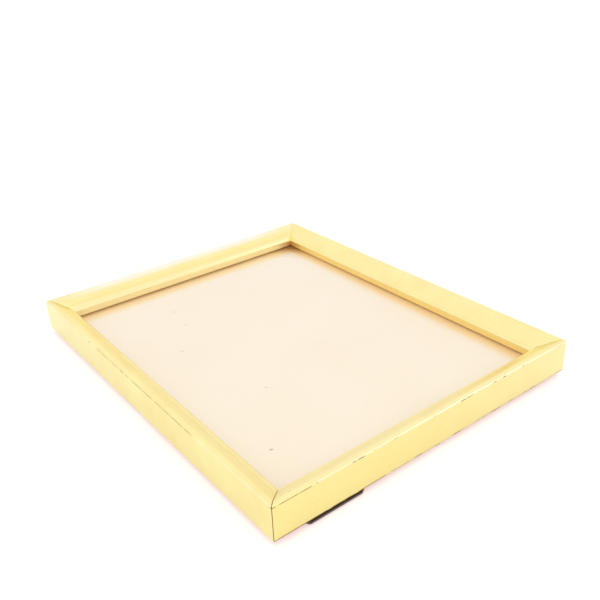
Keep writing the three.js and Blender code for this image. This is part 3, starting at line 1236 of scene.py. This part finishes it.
@dataclass
class PictureStack:
    """What lies in the rebate: glass, card, corrugated filler and back board."""

    liner: float = 0.3
    medium: float = 0.25
    pitch: float = 6.35
    wave_steps: int = 8
    crease: float = 50.0

    def build(self) -> None:
        """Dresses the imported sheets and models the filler's flutes."""
        redressed("glass_pane", PictureGlass().build())
        redressed("insert_card", CreamCard().build())
        redressed("back_board", BOARD_FACE.build())
        filler = self.corrugated()
        painted(filler, KRAFT_PAPER.build())
        hand_over(filler, "frame", Slot.KRAFT, "filler_board")

    def corrugated(self) -> Piece:
        """Models the filler: a fluted sheet between two flat liners.

        Returns:
            The filler board.
        """
        low, high = (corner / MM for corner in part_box("filler_board"))
        size = high - low
        swing = (size.z - 2 * self.liner - self.medium) / 2
        middle = (low.z + high.z) / 2
        wave = []
        for i in range(self.wave_steps + 1):
            height = middle - swing * math.cos(2 * math.pi * i / self.wave_steps)
            wave.append(at(low.x + self.pitch * i / self.wave_steps, low.y, height))
        flutes = traced("corrugated_filler", wave)
        with opened(flutes, Pick.EDGE):
            drag(at(0, size.y, 0))
        row = {
            "count": int(size.x / self.pitch),
            "use_relative_offset": False,
            "use_constant_offset": True,
            "constant_offset_displace": at(self.pitch, 0, 0),
            "use_merge_vertices": True,
            "merge_threshold": WELD,
        }
        worked(flutes, "ARRAY", **row)
        worked(flutes, "SOLIDIFY", thickness=self.medium * MM, offset=0)
        corners = ((low.x, low.y), (high.x, low.y), (high.x, high.y), (low.x, high.y))
        liners = [
            slab("liner", [at(x, y, z) for x, y in corners], at(0, 0, self.liner))
            for z in (low.z, high.z - self.liner)
        ]
        single_out(flutes)
        for liner in liners:
            liner.select_set(True)
        bpy.ops.object.join()
        smoothed(flutes, self.crease)
        return flutes


@dataclass(frozen=True)
class HingeHalf:
    """Half of the easel's hinge: its sheet, what it is riveted to and the body that it rides on.

    A knuckle has a middle and a length along the pin. The rivets' clinched ends lie at the
    height called front, and their heads seat at the one called back.
    """

    word: str
    held: str
    body: str
    outline: Sequence[Flat]
    knuckles: Sequence[Flat]
    rivets: Sequence[Flat]
    front: float
    back: float


@dataclass
class Easel:
    """The folding leg and its pressed hinge.

    Heights are from the frame's back, and y is up from the hinge line.
    """

    hinge_y: float = 14.75
    seat: float = 0.1
    leaf_front: float = -0.1
    leaf_t: float = 0.6
    axis_z: float = -1.4
    knuckle_r: float = 1.3
    eye_r: float = 0.7
    middle_knuckle: float = 10.0
    outer_knuckle: float = 5.7
    barrel: float = 22.0
    plate_reach: float = 16.0
    leaf_reach: float = 14.0
    leaf_w: float = 20.0
    swing_gap: float = 0.4
    knuckle_gap: float = 0.3
    rivet_edge: float = 3.8
    rivet_r: float = 1.3
    rivet_head_r: float = 2.6
    rivet_head_t: float = 0.45
    dome_steps: int = 8
    clinch_r: float = 2.1
    clinch_t: float = 0.4
    drill_reach: float = 3.0
    pin_r: float = 0.6
    pin_l: float = 23.2
    pin_head_r: float = 1.0
    pin_head_t: float = 0.5
    board_t: float = 3.2
    leg_front: float = -0.8
    leg_t: float = 2.0
    leg_half: float = 18.0
    heel: float = 1.68
    bay: float = 12.0
    rise: float = 150.0
    foot_left: float = -90.65
    foot_right: float = -52.85
    foot_chamfer: float = 3.0
    pressed_ease: float = 0.12
    board_ease: float = 0.22
    foot_ease: float = 0.9
    sharp: float = 1.0

    def place(self, x: float, y: float, z: float) -> Vector:
        """Gives a place on the easel in the frame's coordinates."""
        return at(x, self.hinge_y + y, BACK_Z + z)

    def build(self) -> None:
        """Models and dresses the hinge and the leg."""
        half, neck, wing = self.barrel / 2, self.middle_knuckle / 2, self.leaf_w / 2
        bay, shoulder = neck + self.knuckle_gap, self.knuckle_r + self.swing_gap
        outer = half - self.outer_knuckle / 2
        edge, ways = self.rivet_edge, (-1, 1)
        plate = HingeHalf(
            word="plate",
            held="board",
            body="frame",
            outline=[
                (-half, 0),
                (-bay, 0),
                (-bay, shoulder),
                (bay, shoulder),
                (bay, 0),
                (half, 0),
                (half, self.plate_reach),
                (-half, self.plate_reach),
            ],
            knuckles=[(way * outer, self.outer_knuckle) for way in ways],
            rivets=[(way * (half - edge), self.plate_reach - edge) for way in ways],
            front=self.board_t,
            back=self.leaf_front - self.leaf_t - self.seat,
        )
        leaf = HingeHalf(
            word="leaf",
            held="leg",
            body="leg",
            outline=[
                (neck, 0),
                (-neck, 0),
                (-neck, -shoulder),
                (-wing, -shoulder),
                (-wing, -self.leaf_reach),
                (wing, -self.leaf_reach),
                (wing, -shoulder),
                (neck, -shoulder),
            ],
            knuckles=[(0, self.middle_knuckle)],
            rivets=[(way * (wing - edge), edge - self.leaf_reach) for way in ways],
            front=self.leaf_front,
            back=self.leg_front - self.leg_t - self.seat,
        )
        for part in (plate, leaf):
            self.finish(self.pressed(part), part.body, f"hinge_{part.word}")
            for word, spot in zip(("left", "right"), part.rivets):
                rivet = self.rivet(f"{part.held}_rivet_{word}", spot, part.front, part.back)
                self.finish(rivet, part.body, f"{part.word}_rivet_{word}")
        self.finish(self.pin(), "frame", "hinge_pin")
        self.leg(leaf.rivets)

    def finish(self, piece: Piece, body: str, node: str) -> None:
        """Plates a metal piece of the hinge and hands it over.

        Args:
            piece: The piece.
            body: The body that it rides on.
            node: The node that it stands for.
        """
        cleaned(piece)
        painted(piece, STEEL)
        smoothed(piece)
        hand_over(piece, body, Slot.STEEL, node)

    def pressed(self, half: HingeHalf) -> Piece:
        """Models half of the hinge: a pressed sheet, its rolled knuckles and its rivet holes.

        Args:
            half: Which half it is.

        Returns:
            The half.
        """
        back = self.leaf_front - self.leaf_t
        outline = [self.place(x, y, back) for x, y in half.outline]
        piece = slab(f"easel_hinge_{half.word}", outline, at(0, 0, self.leaf_t))
        rolled = self.place(0, 0, 0).y
        eased(piece, self.pressed_ease, lambda edge: all(abs(v.co.y - rolled) > WELD for v in edge.verts))
        for middle, length in half.knuckles:
            combined(piece, self.cross_bar(middle, length, self.knuckle_r), Join.WELD)
        combined(piece, self.cross_bar(0, self.pin_l, self.eye_r), Join.CUT)
        self.drill(piece, half.rivets, back, self.leaf_t)
        return piece

    def cross_bar(self, middle: float, length: float, radius: float) -> Piece:
        """Models a bar on the hinge line, its rims eased.

        Args:
            middle: The place of its middle along the pin.
            length: Its length.
            radius: Its radius.

        Returns:
            The bar.
        """
        bar = round_bar(radius, length, self.place(middle, 0, self.axis_z), (0, QUARTER, 0))
        eased(bar, self.pressed_ease, lambda edge: abs(edge.verts[0].co.x - edge.verts[1].co.x) < WELD)
        return bar

    def drill(self, piece: Piece, rivets: Sequence[Flat], low: float, depth: float) -> None:
        """Drills a sheet for its rivets.

        Args:
            piece: The sheet.
            rivets: Their places.
            low: The height of the sheet's back.
            depth: Its thickness.
        """
        for x, y in rivets:
            middle = self.place(x, y, low + depth / 2)
            combined(piece, round_bar(self.rivet_r, self.drill_reach * depth, middle), Join.CUT)

    def rivet(self, name: str, spot: Flat, front: float, back: float) -> Piece:
        """Turns a rivet with a low domed head at the back and a clinched end in front.

        Args:
            name: The piece's name.
            spot: Its place.
            front: The height of its clinched end.
            back: The height of its head's seat.

        Returns:
            The rivet.
        """
        dome_r = (self.rivet_head_r**2 + self.rivet_head_t**2) / (2 * self.rivet_head_t)
        sweep = math.asin(self.rivet_head_r / dome_r)
        centre = (0.0, back - self.rivet_head_t + dome_r)
        half = [
            *arc(centre, dome_r, -QUARTER, sweep - QUARTER, self.dome_steps),
            (self.rivet_r, back),
            (self.rivet_r, front - self.clinch_t),
            (self.clinch_r, front),
            (0, front),
        ]
        return spun(name, [self.place(spot[0] + r, spot[1], z) for r, z in half], (0, 0, 1))

    def pin(self) -> Piece:
        """Turns the hinge pin, peened over at both ends.

        Returns:
            The pin.
        """
        end, ease = self.pin_l / 2, self.pressed_ease
        shoulder = end - self.pin_head_t
        cap = [
            (end, 0),
            (end, self.pin_head_r - ease),
            (end - ease, self.pin_head_r),
            (shoulder, self.pin_head_r),
            (shoulder, self.pin_r),
        ]
        half = [*cap, *((-x, r) for x, r in reversed(cap))]
        return spun("easel_hinge_pin", [self.place(x, r, self.axis_z) for x, r in half], (1, 0, 0))

    def leg(self, rivets: Sequence[Flat]) -> None:
        """Models the leg: a raked board with a bay for the hinge, a heel each side and a chamfered foot.

        Args:
            rivets: The places of its rivets.
        """
        left = Vector((-self.leg_half - self.foot_left, self.rise)).normalized() * self.foot_chamfer
        right = Vector((self.leg_half - self.foot_right, self.rise)).normalized() * self.foot_chamfer
        bay_foot = -self.knuckle_r - self.swing_gap
        outline = [
            (-self.leg_half, self.heel),
            (-self.leg_half, 0),
            (self.foot_left + left.x, left.y - self.rise),
            (self.foot_left + self.foot_chamfer, -self.rise),
            (self.foot_right - self.foot_chamfer, -self.rise),
            (self.foot_right + right.x, right.y - self.rise),
            (self.leg_half, 0),
            (self.leg_half, self.heel),
            (self.bay, self.heel),
            (self.bay, bay_foot),
            (-self.bay, bay_foot),
            (-self.bay, self.heel),
        ]
        back = self.leg_front - self.leg_t
        piece = slab("easel_leg_board", [self.place(x, y, back) for x, y in outline], at(0, 0, self.leg_t))
        foot = self.place(0, -self.rise, back)

        def on_foot(edge: bmesh.types.BMEdge) -> bool:
            """Whether an edge is the foot's hind one."""
            return all(v.co.z - foot.z < WELD and v.co.y - foot.y < WELD for v in edge.verts)

        eased(piece, self.foot_ease, on_foot, segments=1)
        eased(piece, self.board_ease, lambda edge: edge.calc_face_angle(0) > self.sharp)
        self.drill(piece, rivets, back, self.leg_t)
        painted(piece, BOARD_FACE.build(), BOARD_EDGE.build())
        for face in piece.data.polygons:
            face.material_index = int(abs(face.normal.z) < FACING)
        smoothed(piece)
        hand_over(piece, "leg", Slot.BOARD, "easel_leg")


@dataclass
class TurnButtons:
    """The four turn buttons and their screws. Heights are from the frame's back."""

    inset: float = 3.725
    front: float = -0.1
    thickness: float = 0.8
    reach: float = 21.0
    eye_r: float = 3.2
    nose_r: float = 3.0
    hole_r: float = 1.5
    drill_reach: float = 4.0
    ease: float = 0.15
    groove_w: float = 2.2
    groove_depth: float = 0.25
    screw_seat: float = -1.0
    screw_r: float = 1.2
    screw_l: float = 11.0
    screw_point: float = 2.5
    head_r: float = 2.4
    head_h: float = 1.2
    head_round: float = 0.75
    head_steps: int = 6
    cross_l: float = 2.9
    cross_w: float = 0.55
    cross_depth: float = 0.7

    def build(self) -> None:
        """Models a button and a screw, and puts a pair on each side."""
        for _, across, sides in RUNS:
            pivot = Vector((0, self.inset - across / 2, BACK_Z))
            button, screw = self.button(pivot), self.screw(pivot)
            for side in sides:
                turned = quarter_turned(button, f"pressed_button_{side.word}", side.value)
                hand_over(turned, f"button_{side.word}", Slot.STEEL, f"turn_button_{side.word}")
                turned = quarter_turned(screw, f"cross_head_screw_{side.word}", side.value)
                hand_over(turned, "frame", Slot.STEEL, f"button_screw_{side.word}")
            bpy.data.objects.remove(button)
            bpy.data.objects.remove(screw)

    def button(self, pivot: Vector) -> Piece:
        """Models a turn button: a round eye, a tapered nose and a pressed groove.

        Args:
            pivot: The place of its screw on the frame's back, in millimetres.

        Returns:
            The button at the bottom of the frame.
        """
        nose = self.reach - self.nose_r
        lean = math.asin((self.eye_r - self.nose_r) / nose)
        steps = ROUND // 2
        eye = arc((0, 0), self.eye_r, math.pi - lean, 2 * math.pi + lean, steps)
        tip = arc((0, nose), self.nose_r, lean, math.pi - lean, steps)
        back = self.front - self.thickness
        outline = [at(x, pivot.y + y, pivot.z + back) for x, y in (*eye, *tip)]
        piece = slab("button_model", outline, at(0, 0, self.thickness))
        levels = [(pivot.z + z) * MM for z in (back, self.front)]

        def on_rim(edge: bmesh.types.BMEdge) -> bool:
            """Whether an edge goes round the front or the back."""
            return any(all(abs(v.co.z - z) < WELD for v in edge.verts) for z in levels)

        eased(piece, self.ease, on_rim)
        combined(piece, round_bar(self.hole_r, self.drill_reach * self.thickness, pivot * MM), Join.CUT)
        groove_r = self.groove_w / 2
        run = [
            *arc((0, self.eye_r + groove_r), groove_r, math.pi, 2 * math.pi, steps),
            *arc((0, nose), groove_r, 0, math.pi, steps),
        ]
        floor = pivot.z + back + self.groove_depth
        tool = slab("groove", [at(x, pivot.y + y, floor) for x, y in run], at(0, 0, -self.thickness))
        combined(piece, tool, Join.CUT)
        painted(piece, STEEL)
        smoothed(piece)
        return piece

    def screw(self, pivot: Vector) -> Piece:
        """Turns a pan-head screw and cuts the cross in its head.

        Args:
            pivot: Its place on the frame's back, in millimetres.

        Returns:
            The screw at the bottom of the frame.
        """
        seat = pivot.z + self.screw_seat
        top = seat - self.head_h
        shoulder = (self.head_r - self.head_round, top + self.head_round)
        half = [
            (0, top),
            *arc(shoulder, self.head_round, -QUARTER, 0, self.head_steps),
            (self.head_r, seat),
            (self.screw_r, seat),
            (self.screw_r, seat + self.screw_l - self.screw_point),
            (0, seat + self.screw_l),
        ]
        piece = spun("screw_model", [at(r, pivot.y, z) for r, z in half], (0, 0, 1))
        middle = at(0, pivot.y, top)
        size = at(self.cross_l, self.cross_w, 2 * self.cross_depth)
        for turn in (QUARTER / 2, QUARTER * 3 / 2):
            single_out()
            bpy.ops.mesh.primitive_cube_add(size=1, location=middle, rotation=(0, 0, turn), scale=size)
            combined(piece, settled("cross"), Join.CUT)
        cleaned(piece)
        painted(piece, STEEL)
        smoothed(piece)
        return piece


@dataclass(frozen=True)
class SoftBox:
    """A square lamp: the way to it from the frame, its distance, size and power."""

    name: str
    toward: tuple[float, float, float]
    far: float
    size: float
    watts: float

    def hang(self) -> None:
        """Hangs the lamp, facing the frame."""
        single_out()
        away = Vector(self.toward).normalized()
        turn = away.to_track_quat("Z", "Y").to_euler()
        bpy.ops.object.light_add(type="AREA", location=away * self.far * MM, rotation=turn)
        lamp = bpy.context.object
        lamp.name = self.name
        lamp.data.shape = "SQUARE"
        lamp.data.size = self.size * MM
        lamp.data.energy = self.watts


@dataclass
class Studio:
    """A pale floor, soft light and the camera."""

    floor_size: float = 12000.0
    floor_colour: str = "#DFDFDE"
    floor_seen: str = "#CBB3AF"
    floor_mirrored: str = "#949493"
    sky_colour: str = "#FFFFFF"
    sky: float = 1.0
    lamps: tuple[SoftBox, ...] = (
        SoftBox("low_front_box", toward=(0.6, -0.69, 0.4), far=1300.0, size=240.0, watts=0.4),
        SoftBox("high_front_box", toward=(-0.3, -0.4, 0.87), far=1300.0, size=500.0, watts=1.0),
    )
    camera_at: tuple[float, float, float] = (-245.79, -344.79, 254.2)
    camera_aim: tuple[float, float, float] = (52.89, 54.17, 0.0)
    camera_roll: float = -2.55
    frame_px: float = 600.0
    lens_px: float = 737.8
    sensor: float = 36.0
    nearest: float = 10.0

    def build(self) -> None:
        """Sets the stage: world, floor, lamps, camera and view transform."""
        self.world()
        self.floor()
        for lamp in self.lamps:
            lamp.hang()
        self.camera()
        bpy.context.scene.view_settings.view_transform = "Standard"

    def world(self) -> None:
        """Makes a plain white surround, which lights the frame evenly."""
        world = bpy.data.worlds.new("white_surround")
        tree = bare_tree(world)
        white = add_node(tree, "Background", {"Color": linear(self.sky_colour), "Strength": self.sky})[0]
        add_node(tree, "OutputWorld", {"Surface": white})
        bpy.context.scene.world = world

    def floor(self) -> None:
        """Lays a pale floor that shows white, keeps shadows and can be seen through from below."""
        single_out()
        bpy.ops.mesh.primitive_plane_add(size=self.floor_size * MM)
        floor = settled("floor")
        material = bpy.data.materials.new("white_paper_sweep")
        tree = bare_tree(material)
        paper = add_node(tree, "BsdfDiffuse", {"Color": linear(self.floor_colour)})[0]
        path = add_node(tree, "LightPath")
        echoed = {0: path["Is Glossy Ray"], 1: path["Is Transmission Ray"]}
        mirrored = add_node(tree, "Math", echoed, operation="MAXIMUM")[0]
        straight = path["Is Camera Ray"]
        shows = add_node(tree, "Math", {0: straight, 1: mirrored}, operation="MAXIMUM")[0]
        lifts = {0: straight, 6: linear(self.floor_mirrored), 7: linear(self.floor_seen)}
        tone = add_node(tree, "Mix", lifts, data_type="RGBA")[2]
        glow = add_node(tree, "Emission", {"Color": tone, "Strength": shows})[0]
        lit = add_node(tree, "AddShader", {0: paper, 1: glow})[0]
        clear = add_node(tree, "BsdfTransparent")[0]
        below = add_node(tree, "NewGeometry")["Backfacing"]
        shown = add_node(tree, "MixShader", {0: below, 1: lit, 2: clear})[0]
        add_node(tree, "OutputMaterial", {"Surface": shown})
        painted(floor, material)

    def camera(self) -> None:
        """Stands the camera where the picture was taken from."""
        single_out()
        place, aim = (Vector(p) * MM for p in (self.camera_at, self.camera_aim))
        bpy.ops.object.camera_add(location=place)
        camera = bpy.context.object
        turn = (aim - place).to_track_quat("-Z", "Y").to_matrix()
        roll = Matrix.Rotation(math.radians(self.camera_roll), 3, "Z")
        camera.rotation_euler = (turn @ roll).to_euler()
        camera.data.sensor_width = self.sensor
        camera.data.lens = self.lens_px / self.frame_px * self.sensor
        camera.data.clip_start = self.nearest * MM
        bpy.context.scene.camera = camera


def main() -> None:
    """Builds the frame in order, then its stage."""
    logging.basicConfig(level=logging.INFO, format="%(name)s: %(message)s")
    GiltRim().build()
    PictureStack().build()
    Easel().build()
    TurnButtons().build()
    Studio().build()


if __name__ == "__main__":
    main()
